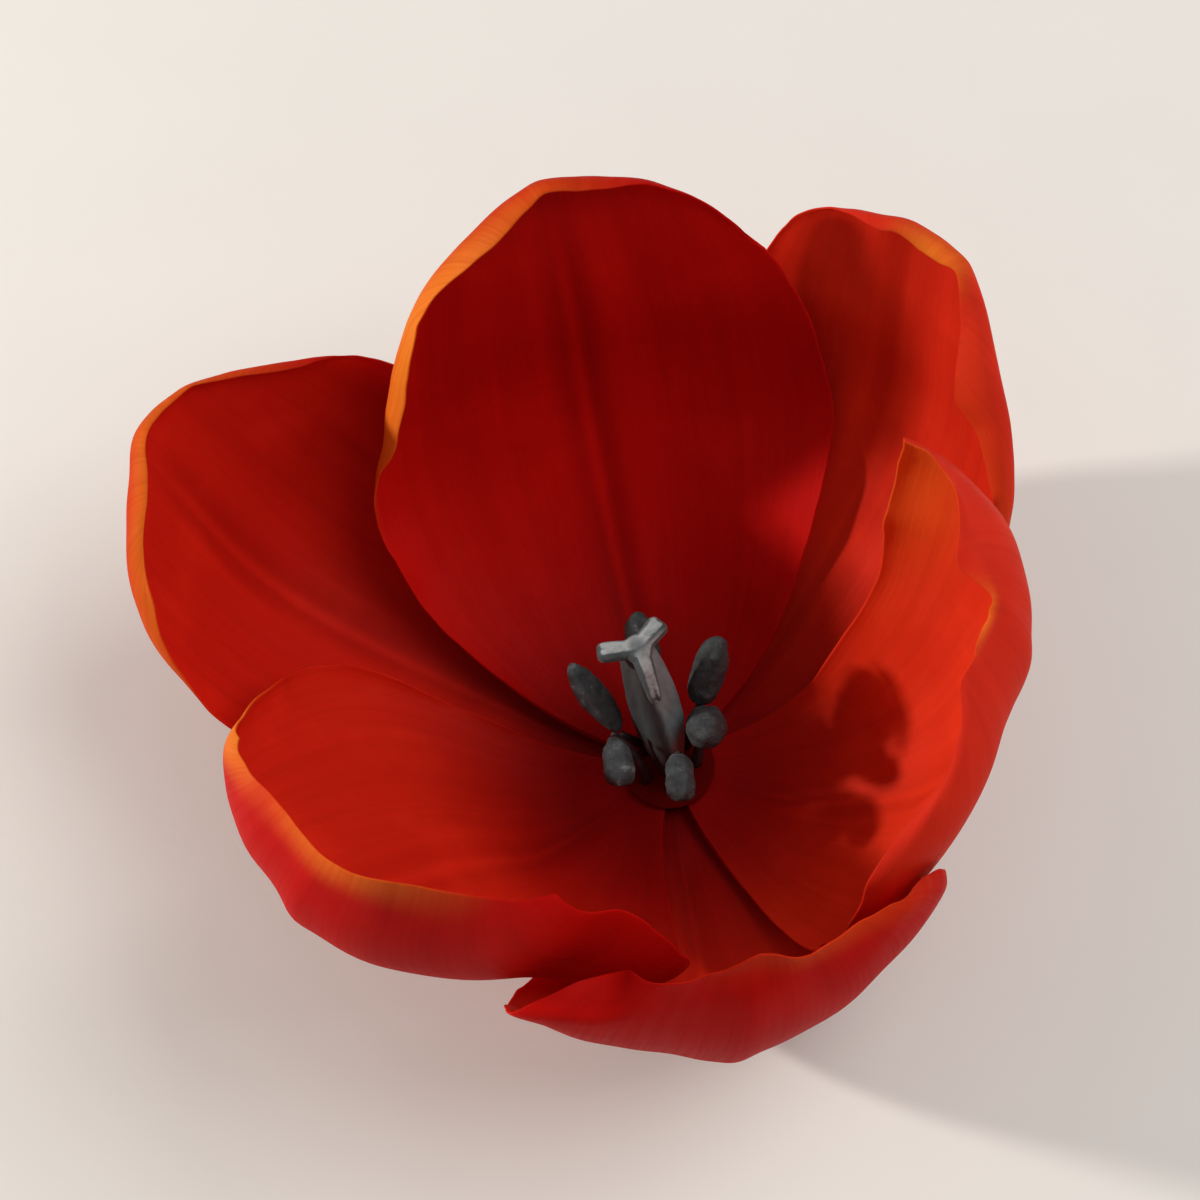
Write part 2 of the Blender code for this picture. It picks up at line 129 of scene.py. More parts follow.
# Limb faces turned to these two sides take a pale band of painted light along the top; the way after
# them tells the front limb from the rest
STIGMA_BACK_LIT_SIDE = (-0.08, 0.25, 0.965)
STIGMA_FRONT_LIT_SIDE = (0.30, -0.36, 0.88)
STIGMA_FRONT_WAY = (0.65, -0.76, 0.0)

# Seat: the receptacle with the cut end of the stalk, as radius and height
SEAT_PROFILE = ((0.00365, 0.00045), (0.00390, 0.00058), (0.00410, 0.0012), (0.00470, 0.0026),
                (0.00475, 0.0036), (0.00500, 0.0043), (0.00590, 0.0046), (0.00560, 0.0049),
                (0.00400, 0.0050), (0.00280, 0.0050))
SEAT_TOP_INSET = 0.0012
SEAT_CUT_INSET = 0.0010

# Filaments: distance from the axis, half thickness, bend towards both ends, gap to the anther
FILAMENT_FOOT = 0.0035
FILAMENT_FOOT_RADIUS = 0.00075
FILAMENT_HEAD_RADIUS = 0.00035
FILAMENT_RISE = 0.4
FILAMENT_ARRIVAL = 0.0012
ANTHER_GAP = 0.0003

# Anthers, as shares of their width or length: the furrows' lines, the ends, and each one's reach
FURROW_LINE = 0.05
DEEP_FURROW_REACH = 0.5
SIDE_FURROW_REACH = 0.35
POUCH_END = 0.75
POUCH_END_REACH = 0.7

# Camera: the point that it looks at, from the flower's axis, and where it stands
CAMERA_AIM = (-0.0085, 0.009, 0.034)
CAMERA_ELEVATION = 65.0
CAMERA_DISTANCE = 0.42
CAMERA_LENS = 107.1

# Lamps as direction, elevation, distance, size, watts and tint, and the sky's light
LAMPS = (("key_window", 177.0, 21.5, 0.75, 0.05, 4.6, (1.0, 0.95, 0.88)),
         ("fill_window", 15.0, 55.0, 1.0, 0.8, 6.5, (1.0, 0.97, 0.94)))
SKY_TINT = (1.0, 0.97, 0.94, 1.0)
SKY_STRENGTH = 0.35
TABLE_SIZE = 3.0


class Stretch(NamedTuple):
    """A stretch of a petal's margin: its middle and spread as angles round the blade."""

    middle: float
    spread: float
    amount: float


class Stamen(NamedTuple):
    """One stamen: where its stalk stands, the ends of its pouch from the axis, and the pouch."""

    foot_azimuth: float
    base: tuple
    tip: tuple
    half_width: float
    half_depth: float
    base_share: float
    tip_share: float
    furrow: float


STAMENS = (
    Stamen(150.0, (-0.0060, 0.0012, 0.0130), (-0.0123, 0.0070, 0.0200),
           0.0019, 0.0016, 1.0, 0.95, 0.78),
    Stamen(105.0, (-0.0022, 0.0079, 0.0125), (-0.0042, 0.0138, 0.0200),
           0.0021, 0.0018, 0.8, 1.1, 0.78),
    Stamen(50.0, (0.0036, 0.0045, 0.0138), (0.0059, 0.0096, 0.0221),
           0.0022, 0.0019, 1.2, 1.1, 0.82),
    Stamen(5.0, (0.0046, 0.0032, 0.0125), (0.0042, -0.0024, 0.0196),
           0.0025, 0.0024, 1.1, 1.1, 0.94),
    Stamen(285.0, (0.0010, -0.0030, 0.0150), (0.0012, -0.0100, 0.0185),
           0.0018, 0.0016, 1.2, 1.4, 0.86),
    Stamen(215.0, (-0.0068, -0.0008, 0.0156), (-0.0059, -0.0077, 0.0174),
           0.0019, 0.0018, 0.9, 1.4, 0.84),
)


class Petal(NamedTuple):
    """One petal. Its sides are named as seen from above, clockwise and counterclockwise."""

    name: str
    inner: bool
    facing: float
    length: float
    widest: float
    half_cw: float
    half_ccw: float
    corner_cw: float
    corner_ccw: float
    taper: float
    skew: float
    tilt: float
    turns: tuple
    lean: float
    lift_cw: float
    lift_ccw: float
    lift_tip: float
    point: float
    ripple: float
    phase: float
    # share of painted sunlight: it brightens the inner face and picks the lit or the painted-shade
    # outer colour
    sun_share: float
    curls: tuple
    # the margin's orange outside, partly painted sunlight
    flushes_with_sun: tuple
    # patches of painted sunlight on the inner face
    sun_patches: tuple


# In each row the number before the three lists is the share of painted sunlight; the lists are the
# rolled rims, the margin's orange (partly painted sunlight) and the patches of painted sunlight inside
PETALS = (
    Petal("back", True, 102.9, 0.0912, 0.0439, 0.0342, 0.0317,
          2.1, 1.7, 0.80, -0.0011, 0.0016,
          (24, 54, 88, 52), 5.0, 0.0001, 0.0065, 0.0044, 0.0011, 0.0005, 0.0, 0.00,
          (Stretch(44, 44, 0.0033), Stretch(87, 49, 0.0061)),
          (Stretch(52, 58, 0.95),), ()),
    Petal("left", False, 156.4, 0.0871, 0.0434, 0.0355, 0.0261,
          1.7, 2.2, 1.00, -0.0020, 0.0017,
          (10, 21, 66, 71), 1.8, -0.0013, -0.0007, 0.0004, 0.0022, 0.0004, 2.0, 0.20,
          (Stretch(77, 61, 0.0051), Stretch(113, 39, 0.0036)),
          (Stretch(75, 60, 0.60),), ()),
    Petal("front_left", True, 216.6, 0.0937, 0.0415, 0.0362, 0.0390,
          1.7, 2.0, 1.19, 0.0015, 0.0,
          (56, 50, 40, 109), 6.6, 0.0074, 0.0114, 0.0, -0.0015, 0.0006, 1.0, 0.35,
          (Stretch(150, 21, 0.0005),),
          (Stretch(128, 34, 0.80), Stretch(88, 24, 0.50)), ()),
    Petal("front", False, 278.2, 0.0719, 0.0545, 0.0275, 0.0315,
          3.4, 2.2, 1.06, 0.0, 0.0002,
          (12, 68, 86, 119), 3.5, -0.0022, -0.0020, -0.0030, 0.0023, 0.0005, 0.5, 0.40,
          (Stretch(142, 23, 0.0054), Stretch(20, 40, 0.0024)),
          (Stretch(60, 60, 0.15),), ()),
    Petal("right", True, 345.9, 0.0779, 0.0643, 0.0370, 0.0331,
          1.7, 1.9, 0.95, -0.0001, 0.0044,
          (33, 75, 80, 128), 12.3, 0.0046, 0.0139, 0.0059, -0.0025, 0.0005, 2.6, 1.00,
          (Stretch(65, 27, 0.0029),),
          (Stretch(95, 30, 0.60),), (Stretch(10, 75, 0.45),)),
    Petal("back_right", False, 51.6, 0.0874, 0.0493, 0.0274, 0.0242,
          1.7, 1.7, 1.00, -0.0065, 0.0008,
          (48, 37, 84, 52), 8.4, -0.0015, -0.0003, -0.0015, 0.0008, 0.0006, 1.6, 0.60,
          (Stretch(129, 71, 0.0066), Stretch(91, 38, 0.0065)),
          (Stretch(97, 14, 0.80), Stretch(150, 50, 0.15)), ()),
)


def srgb(red, green, blue):
    """Linear colour of an sRGB colour given in steps of 255."""
    channels = [value / 255 for value in (red, green, blue)]
    return tuple(c / 12.92 if c <= 0.04045 else ((c + 0.055) / 1.055) ** 2.4 for c in channels)


def colour(name, description, shade):
    """A colour that a user can pick."""
    return FloatVectorProperty(name=name, description=description, subtype="COLOR",
                               size=3, min=0.0, max=1.0, default=srgb(*shade))


def length(name, description, metres):
    """A length that a user can set."""
    return FloatProperty(name=name, description=description, default=metres, min=0.0,
                         subtype="DISTANCE", unit="LENGTH", precision=5)


class TulipSizes(bpy.types.PropertyGroup):
    """Sizes of the bloom's finer forms."""

    blade_thickness: length("Blade thickness", "Thickness of a petal between midrib and rim", 0.00058)
    rim_thickness: length("Rim thickness", "Thickness of a petal at its margin", 0.00026)
    midrib_height: length("Midrib", "How far the midrib stands out of a petal's inner face", 0.00012)
    pleat_depth: length("Pleats", "Depth of the soft pleats that run along a petal", 0.0005)
    margin_step: length("Margin steps", "How far a petal's margin wanders in and out", 0.0003)
    vein_relief: length("Vein relief", "Height of the fine veins", 0.00007)
    pollen_relief: length("Pollen relief", "Height of the grains on an anther", 0.00012)
    columns: IntProperty(name="Columns", description="Faces across a petal before smoothing",
                         default=64, min=16)
    rows: IntProperty(name="Rows", description="Faces along a petal before smoothing",
                      default=76, min=16)


class TulipColours(bpy.types.PropertyGroup):
    """Colours of the bloom and of the table it lies on."""

    petal_inside: colour("Petal inside", "Inner face of a petal", (180, 14, 9))
    # Painted sunlight: the inner face of the petals that the lamp lights most
    petal_inside_lit: colour("Petal inside, sunlit", "Inner face of the sunlit petals", (214, 50, 24))
    petal_outside: colour("Petal outside", "Outer face of a petal", (196, 40, 22))
    # Painted shade: the outer face of the petals turned from the lamp
    petal_outside_shaded: colour("Petal outside, deeper", "Outer face of the deeper petals", (172, 10, 6))
    # Painted shade at the bottom of the cup, towards the claws; the seat's top is painted with it too
    petal_throat_shaded: colour("Throat", "Petal near its claw, inside", (128, 3, 3))
    # The margin's orange, partly its own colour and partly painted sunlight
    margin_orange_and_sun: colour("Margin", "Rolled margin of a petal", (232, 128, 36))
    petal_foot: colour("Petal foot", "Outer face near the stalk", (196, 150, 60))
    pollen: colour("Pollen", "Anthers", (64, 70, 72))
    filament: colour("Filament", "Stalks of the stamens", (44, 40, 42))
    ovary: colour("Ovary", "Column of the pistil", (106, 121, 124))
    stigma: colour("Stigma", "Crests of the stigma", (150, 157, 158))
    stalk: colour("Stalk", "Skin of the stalk's end", (120, 142, 70))
    pith: colour("Pith", "Cut face of the stalk", (176, 186, 130))
    table: colour("Table", "Plain floor", (226, 224, 220))


def add_node(tree, kind, inputs=None, **settings):
    """Add a shader node, set it, and link or fill its inputs."""
    node = tree.nodes.new(kind)
    for key, value in settings.items():
        setattr(node, key, value)
    for key, value in (inputs or {}).items():
        if isinstance(value, bpy.types.NodeSocket):
            tree.links.new(value, node.inputs[key])
        else:
            node.inputs[key].default_value = value
    return node


def math_node(tree, operation, first, second=0.0, clamp=False):
    """One sum, product or the like of two values."""
    node = add_node(tree, "ShaderNodeMath", {0: first, 1: second},
                    operation=operation, use_clamp=clamp)
    return node.outputs[0]


def mix_colours(tree, amount, first, second, blend="MIX"):
    """Mix two colours, each a socket or a fixed colour."""
    node = add_node(tree, "ShaderNodeMix", data_type="RGBA", blend_type=blend)
    for index, value in ((0, amount), (6, first), (7, second)):
        if isinstance(value, bpy.types.NodeSocket):
            tree.links.new(value, node.inputs[index])
        else:
            node.inputs[index].default_value = value if index == 0 else (*value[:3], 1.0)
    return node.outputs[2]


def ramp(tree, value, low, high, to_low=0.0, to_high=1.0, smooth=True):
    """Map a value from one range to another, clamped."""
    node = add_node(tree, "ShaderNodeMapRange",
                    {"Value": value, "From Min": low, "From Max": high,
                     "To Min": to_low, "To Max": to_high},
                    interpolation_type="SMOOTHSTEP" if smooth else "LINEAR")
    return node.outputs["Result"]


def noise(tree, vector, scale, detail=3.0, roughness=0.5):
    """Noise read at a vector."""
    node = add_node(tree, "ShaderNodeTexNoise",
                    {"Vector": vector, "Scale": scale, "Detail": detail, "Roughness": roughness})
    return node.outputs["Fac"]


def vector_node(tree, operation, first, second=(0.0, 0.0, 0.0)):
    """One step of arithmetic with vectors, which gives a vector or a value."""
    node = add_node(tree, "ShaderNodeVectorMath", {0: first, 1: second}, operation=operation)
    return node.outputs["Value" if operation in ("DOT_PRODUCT", "LENGTH") else "Vector"]


def product(tree, value, *factors):
    """The product of two or more values."""
    for factor in factors:
        value = math_node(tree, "MULTIPLY", value, factor)
    return value


def scaled(base, factor):
    """A fixed colour made darker or paler."""
    return tuple(min(1.0, value * factor) for value in base)


def dress(tree, shader, body, height, strength, distance, roughness=None):
    """Give a shader its colour and its relief, and its roughness where that varies."""
    tree.links.new(body, shader.inputs["Base Color"])
    if roughness is not None:
        tree.links.new(roughness, shader.inputs["Roughness"])
    bump = add_node(tree, "ShaderNodeBump",
                    {"Height": height, "Strength": strength, "Distance": distance})
    tree.links.new(bump.outputs[0], shader.inputs["Normal"])


def new_material(name, **sockets):
    """A material whose shader has these fixed values, with its tree, shader and coordinates."""
    material = bpy.data.materials.new(name)
    material.use_nodes = True
    tree = material.node_tree
    shader = tree.nodes["Principled BSDF"]
    for key, value in sockets.items():
        shader.inputs[key.replace("_", " ")].default_value = value
    return material, tree, shader, add_node(tree, "ShaderNodeTexCoord").outputs


def petal_material(colours, sizes):
    """Satin petal: fine veins, painted shade towards the claw and beside the midrib, painted sunlight
    inside and painted shade outside by petal, and orange where the margin turns over, partly painted
    sunlight.
    """
    material, tree, shader, coordinates = new_material(
        "tulip_petal", Subsurface_Weight=0.3, Subsurface_Radius=(1.0, 0.18, 0.08),
        Subsurface_Scale=0.0014, Specular_IOR_Level=0.04)
    blade = add_node(tree, "ShaderNodeAttribute", attribute_name="blade").outputs["Vector"]
    face = add_node(tree, "ShaderNodeAttribute", attribute_name="face").outputs["Vector"]
    place = coordinates["Object"]
    side, along, rim = add_node(tree, "ShaderNodeSeparateXYZ", {0: blade}).outputs
    inside, flush_with_sun, sun_share = add_node(tree, "ShaderNodeSeparateXYZ", {0: face}).outputs

    veins = noise(tree, vector_node(tree, "MULTIPLY", blade, (46.0, 2.6, 0.0)), 1.0, 4.0, 0.6)
    wide_veins = noise(tree, vector_node(tree, "MULTIPLY", blade, (11.0, 1.1, 0.0)), 1.0, 2.0, 0.5)
    mottle = noise(tree, place, 90.0, 3.0, 0.55)
    cells = noise(tree, place, 2600.0, 2.0, 0.6)

    # painted shade that darkens the inner face towards the claw
    throat_shading = ramp(tree, along, 0.04, 0.42, 1.0, 0.0)
    # painted sunlight brightens the inner face of some petals
    inside_painted_sun = mix_colours(tree, sun_share, colours.petal_inside, colours.petal_inside_lit)
    inner_face = mix_colours(tree, throat_shading, inside_painted_sun, colours.petal_throat_shaded)
    foot = ramp(tree, along, 0.02, 0.20, 0.85, 0.0)
    # the outer face of the petals turned from the lamp takes painted shade
    outer = mix_colours(tree, ramp(tree, sun_share, 0.42, 0.58), colours.petal_outside_shaded,
                        colours.petal_outside)
    outer_face = mix_colours(tree, foot, outer, colours.petal_foot)
    claw_edge = product(tree, ramp(tree, rim, 0.90, 0.97), ramp(tree, along, 0.35, 0.50, 1.0, 0.0))
    inner = math_node(tree, "MAXIMUM", inside, claw_edge)
    inner = math_node(tree, "MAXIMUM", inner, ramp(tree, along, 0.005, 0.02, 1.0, 0.0))
    body = mix_colours(tree, inner, outer_face, inner_face)
    # a darker copy, used for the veins and for the painted shade beside the midrib
    darkened = mix_colours(tree, 1.0, body, (0.70, 0.52, 0.5), "MULTIPLY")
    streaks = ramp(tree, veins, 0.42, 0.66)
    body = mix_colours(tree, product(tree, streaks, 0.12), body, darkened)
    bands = ramp(tree, wide_veins, 0.40, 0.68)
    body = mix_colours(tree, product(tree, bands, 0.22), body, darkened)
    beside = math_node(tree, "ABSOLUTE", side)
    # painted shade in the creases beside the midrib, strongest on the petals with the least painted
    # sunlight
    groove_shading = product(tree, ramp(tree, beside, 0.0, 0.05), ramp(tree, beside, 0.05, 0.15, 1.0, 0.0),
                     ramp(tree, along, 0.95, 0.75), ramp(tree, sun_share, 0.0, 0.5, 0.9, 0.3), inside)
    body = mix_colours(tree, groove_shading, body, darkened)
    lighter = mix_colours(tree, 1.0, body, (1.25, 1.6, 1.5), "MULTIPLY")
    body = mix_colours(tree, ramp(tree, mottle, 0.45, 0.75, 0.0, 0.5), body, lighter)

    # the margin's orange, partly painted sunlight, and the painted sunlight inside
    orange_with_sun = product(tree, flush_with_sun, ramp(tree, veins, 0.3, 0.7, 1.0, 0.75))
    body = mix_colours(tree, orange_with_sun, body, colours.margin_orange_and_sun)
    satin = ramp(tree, veins, 0.3, 0.7, 0.52, 0.66, smooth=False)
    relief = math_node(tree, "ADD", veins, product(tree, cells, 0.25))
    dress(tree, shader, body, relief, 0.6, sizes.vein_relief, satin)
    return material


def anther_material(colours, sizes):
    """Charcoal pouch dusted with pollen grains, with paler flecks."""
    material, tree, shader, coordinates = new_material("anther_pollen", Specular_IOR_Level=0.25)
    place = coordinates["Object"]
    grains = noise(tree, place, 5200.0, 2.0, 0.6)
    dust = noise(tree, place, 620.0, 4.0, 0.6)
    paler = scaled(colours.pollen, 2.6)
    body = mix_colours(tree, ramp(tree, dust, 0.35, 0.65), scaled(colours.pollen, 0.55),
                       colours.pollen)
    body = mix_colours(tree, ramp(tree, dust, 0.60, 0.72, 0.0, 0.7), body, paler)
    body = mix_colours(tree, ramp(tree, grains, 0.55, 0.75, 0.0, 0.35), body, paler)
    powder = ramp(tree, dust, 0.3, 0.7, 0.75, 0.95, smooth=False)
    dress(tree, shader, body, grains, 0.8, sizes.pollen_relief, powder)
    return material


def fleshy_material(name, base, spread, streak, roughness, relief, shade_side=None):
    """Fleshy stem tissue: lengthwise streaks, a faint waxy unevenness and maybe one side in painted
    shade.
    """
    material, tree, shader, coordinates = new_material(
        name, Specular_IOR_Level=0.35, Subsurface_Weight=0.05, Subsurface_Scale=0.0006)
    place = coordinates["Object"]
    lengthways = vector_node(tree, "MULTIPLY", place, (streak, streak, streak * 0.12))
    streaks = noise(tree, lengthways, 1.0, 3.0, 0.6)
    cloud = noise(tree, place, 260.0, 3.0, 0.5)
    body = mix_colours(tree, ramp(tree, streaks, 0.35, 0.65), scaled(base, 1.0 - spread),
                       scaled(base, 1.0 + spread))
    body = mix_colours(tree, ramp(tree, cloud, 0.45, 0.7, 0.0, 0.5), body, base)
    if shade_side:
        # painted shade on the side of the column turned that way
        facing = vector_node(tree, "DOT_PRODUCT", coordinates["Normal"], shade_side)
        painted_shade_colour = mix_colours(tree, 1.0, body, (0.27, 0.27, 0.27), "MULTIPLY")
        body = mix_colours(tree, ramp(tree, facing, -0.30, 0.30), body, painted_shade_colour)
    wax = ramp(tree, cloud, 0.3, 0.7, roughness - 0.08, roughness + 0.1, smooth=False)
    fine = noise(tree, place, 3200.0, 2.0, 0.5)
    height = math_node(tree, "ADD", streaks, product(tree, fine, 0.4))
    dress(tree, shader, body, height, 0.6, relief, wax)
    return material


def stigma_material(colours):
    """Downy limbs: a pale band of painted light along the top of each, and painted shade in dark grey
    from the ovary's colour on the flanks and near the hub.
    """
    material, tree, shader, coordinates = new_material(
        "stigma_down", Roughness=0.9, Specular_IOR_Level=0.2, Sheen_Weight=0.15,
        Sheen_Roughness=0.5)
    # pale bands of painted light where the limbs' faces turn to two sides
    lit_strips = [ramp(tree, vector_node(tree, "DOT_PRODUCT", coordinates["Normal"], side), 0.84, 0.97)
              for side in (STIGMA_BACK_LIT_SIDE, STIGMA_FRONT_LIT_SIDE)]
    from_hub = vector_node(tree, "SUBTRACT", coordinates["Object"], FLOWER_AXIS + STIGMA_HUB)
    beside = vector_node(tree, "LENGTH", from_hub)
    ahead = vector_node(tree, "DOT_PRODUCT", from_hub, STIGMA_FRONT_WAY)
    lit_strip = mix_colours(tree, ramp(tree, ahead, 0.0002, 0.0008), *lit_strips)
    down = noise(tree, coordinates["Object"], 4200.0, 2.0, 0.6)
    cloud = noise(tree, coordinates["Object"], 700.0, 3.0, 0.5)
    # the painted light fades into painted shade near the hub; the painted shade is the ovary's colour
    # at 0.4
    crest = product(tree, lit_strip, ramp(tree, beside, 0.0009, 0.0018, 0.2, 1.0))
    body = mix_colours(tree, crest, scaled(colours.ovary, 0.4), colours.stigma)
    dim = mix_colours(tree, 1.0, body, (0.6, 0.6, 0.6), "MULTIPLY")
    body = mix_colours(tree, ramp(tree, cloud, 0.4, 0.65, 0.0, 0.6), body, dim)
    dress(tree, shader, body, down, 0.7, 0.0001)
    return material


def seat_material(colours):
    """Receptacle: green skin and a pale cut face below, and above a dark red painted shade like the
    petals' feet.
    """
    material, tree, shader, coordinates = new_material(
        "flower_seat", Roughness=0.8, Specular_IOR_Level=0.05)
    centred = vector_node(tree, "SUBTRACT", coordinates["Object"], FLOWER_AXIS)
    height = add_node(tree, "ShaderNodeSeparateXYZ", {0: centred}).outputs[2]
    flat = vector_node(tree, "MULTIPLY", centred, (1.0, 1.0, 0.0))
    radius = vector_node(tree, "LENGTH", flat)
    fibres = noise(tree, flat, 1900.0, 2.0, 0.6)
    skin = mix_colours(tree, ramp(tree, fibres, 0.4, 0.65), colours.stalk,
                       scaled(colours.stalk, 0.6))
    pith = mix_colours(tree, ramp(tree, fibres, 0.5, 0.62), colours.pith,
                       scaled(colours.pith, 0.5))
    cut = product(tree, ramp(tree, height, 0.0005, 0.0007, 1.0, 0.0),
                  ramp(tree, radius, 0.0036, 0.0041, 1.0, 0.0))
    body = mix_colours(tree, cut, skin, pith)
    # painted shade: the top, in the shadow under the petals' feet, is a dark red
    above = ramp(tree, height, 0.0010, 0.0020)
    body = mix_colours(tree, above, body, scaled(colours.petal_throat_shaded, 0.45))
    dress(tree, shader, body, fibres, 0.5, 0.0002)
    return material


def table_material(colours):
    """Plain pale table with a very faint tooth."""
    material, tree, shader, coordinates = new_material(
        "pale_table", Roughness=0.8, Specular_IOR_Level=0.2)
    grain = noise(tree, coordinates["Object"], 60.0, 4.0, 0.5)
    body = mix_colours(tree, grain, colours.table, scaled(colours.table, 0.97))
    tree.links.new(body, shader.inputs["Base Color"])
    return material


def smooth_step(value):
    """Ease from 0 to 1."""
    t = np.clip(value, 0.0, 1.0)
    return t * t * (3.0 - 2.0 * t)


def share_of_ring(azimuth):
    """How much the turns of each petal count at an azimuth, blended between neighbours."""
    ring = sorted(PETALS, key=lambda petal: petal.facing)
    weights = {petal.name: np.zeros_like(azimuth) for petal in ring}
    for petal, following in zip(ring, ring[1:] + ring[:1]):
        span = (following.facing - petal.facing) % 360.0
        along = np.mod(azimuth - petal.facing, 360.0) / span
        between = along < 1.0
        blend = smooth_step(along)
        weights[petal.name] += np.where(between, 1.0 - blend, 0.0)
        weights[following.name] += np.where(between, blend, 0.0)
    return [(petal, weights[petal.name]) for petal in ring]


def cup_meridian(azimuth, arc):
    """Radius, height and inclination of the cup at an azimuth and a length along it."""
    along = arc[..., None] * np.linspace(0.0, 1.0, ARC_STEPS)
    turn = np.zeros_like(along)
    for petal, weight in share_of_ring(azimuth):
        turns = FIRST_TURNS + petal.turns
        turn += weight[..., None] * np.interp(along, ARC_STATIONS, turns)
    turn = np.radians(turn)
    step = arc / (ARC_STEPS - 1)
    outward = np.cos(turn)
    upward = np.sin(turn)
    radius = CLAW_RADIUS + step * (outward.sum(-1) - 0.5 * (outward[..., 0] + outward[..., -1]))
    height = CLAW_HEIGHT + step * (upward.sum(-1) - 0.5 * (upward[..., 0] + upward[..., -1]))
    return radius, height, turn[..., -1]


def cup_point(azimuth, arc, inward):
    """Point of the cup, moved inwards along its normal."""
    radius, height, turn = cup_meridian(azimuth, arc)
    radius = radius - inward * np.sin(turn)
    height = height + inward * np.cos(turn)
    angle = np.radians(azimuth)
    return np.stack([radius * np.cos(angle), radius * np.sin(angle), height], axis=-1)


def room_beside(petal):
    """Half angles that a petal may fill on its clockwise and counterclockwise side."""
    others = [other for other in PETALS if other.inner == petal.inner and other is not petal]
    clockwise = min((petal.facing - other.facing) % 360.0 for other in others)
    counterclockwise = min((other.facing - petal.facing) % 360.0 for other in others)
    return clockwise / 2 - SHARE_MARGIN, counterclockwise / 2 - SHARE_MARGIN


def stretch_amount(stretches, direction):
    """How much of a margin's stretches counts in each direction from the blade's middle."""
    amount = np.zeros_like(direction)
    for stretch in stretches:
        away = np.abs((direction - stretch.middle + 180.0) % 360.0 - 180.0)
        amount = np.maximum(amount, stretch.amount * smooth_step(1.0 - away / stretch.spread))
    return amount


def sum_of_waves(waves, angle, phase):
    """Sum of sines of an angle in radians, each given by its count, size and phase."""
    return sum(size * np.sin(count * angle + own + phase) for count, size, own in waves)


def petal_outline(petal, across, along, margin_step):
    """Spread a square of -1 to 1 over a petal's blade: sideways, lengthways, and 1 at its rim."""
    half = np.where(across < 0.0, petal.half_cw, petal.half_ccw)
    below = along < 0.0
    up = np.clip(along, 0.0, 1.0)
    narrow = CLAW_HALF_WIDTH / half
    widening = np.sin((np.clip(along, -1.0, 0.0) + 1.0) * math.pi / 2) ** petal.taper
    taper = narrow + (1.0 - narrow) * widening
    round_side = across * np.sqrt(1.0 - up ** 2 / 2)
    round_up = up * np.sqrt(1.0 - across ** 2 / 2)
    rim = np.where(below, np.abs(across), np.hypot(round_side, round_up))

    # square off, or flatten, the corners of the blade's upper half
    spread = np.hypot(round_side, round_up) + NOT_ZERO
    corner = np.where(across < 0.0, petal.corner_cw, petal.corner_ccw)
    filled = np.abs(round_side / spread) ** corner + np.abs(round_up / spread) ** corner
    filled = 1.0 + ((filled + NOT_ZERO) ** (-1.0 / corner) - 1.0) * np.clip(spread, 0.0, 1.0) ** 3
    round_side = round_side * filled
    round_up = round_up * filled
    sideways = half * np.where(below, across * taper, round_side)
    upper = petal.widest + (petal.length - petal.widest) * round_up
    arc = np.where(below, petal.widest * (1.0 + along), upper)
    arc = arc + petal.point * np.exp(-(sideways / POINT_HALF_WIDTH) ** 2) * up ** 4
    arc = arc + petal.skew * across * (1.0 - along ** 2) + petal.tilt * across * up ** 2

    # the margin steps in and out a little
    direction = np.arctan2(arc - petal.widest, sideways)
    steps = sum_of_waves(MARGIN_STEPS, direction, petal.phase) - 1.0
    steps = steps * margin_step * rim ** 12 * smooth_step(arc / RIPPLE_FULL_ARC)
    reach = np.hypot(sideways, arc - petal.widest) + NOT_ZERO
    sideways = sideways * (1.0 + steps / reach)
    arc = petal.widest + (arc - petal.widest) * (1.0 + steps / reach)
    return sideways, arc, rim


